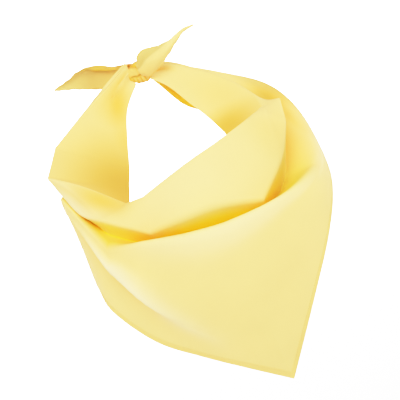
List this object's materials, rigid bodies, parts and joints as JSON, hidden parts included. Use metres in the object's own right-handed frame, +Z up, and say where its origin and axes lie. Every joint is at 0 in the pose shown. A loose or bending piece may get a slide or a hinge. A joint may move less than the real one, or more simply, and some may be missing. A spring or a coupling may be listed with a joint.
{
  "type": "neckerchief",
  "caption": "Triangular cotton neckerchief as worn: turned-in collar, one deep fold, point hanging in front, and the long corners knotted at the nape.",
  "frame": {"origin": "middle of the neck opening, where the wearer's neck passes through", "axes": "+Z up along the neck, -Y to the front where the point hangs, +X to the right as seen from the front"},
  "size_m": [0.31, 0.2412, 0.388],
  "materials": {
    "cotton": "thin plain-weave cotton, pale yellow, soft matt",
    "turned_hem": "the same cotton turned under and stitched, a shade deeper where it is double"
  },
  "bodies": {
    "root": {"scarf_body": "cotton", "hem_left": "turned_hem", "hem_right": "turned_hem", "knot": "cotton", "tail_left": "cotton", "tail_right": "cotton"}
  },
  "joints": []
}
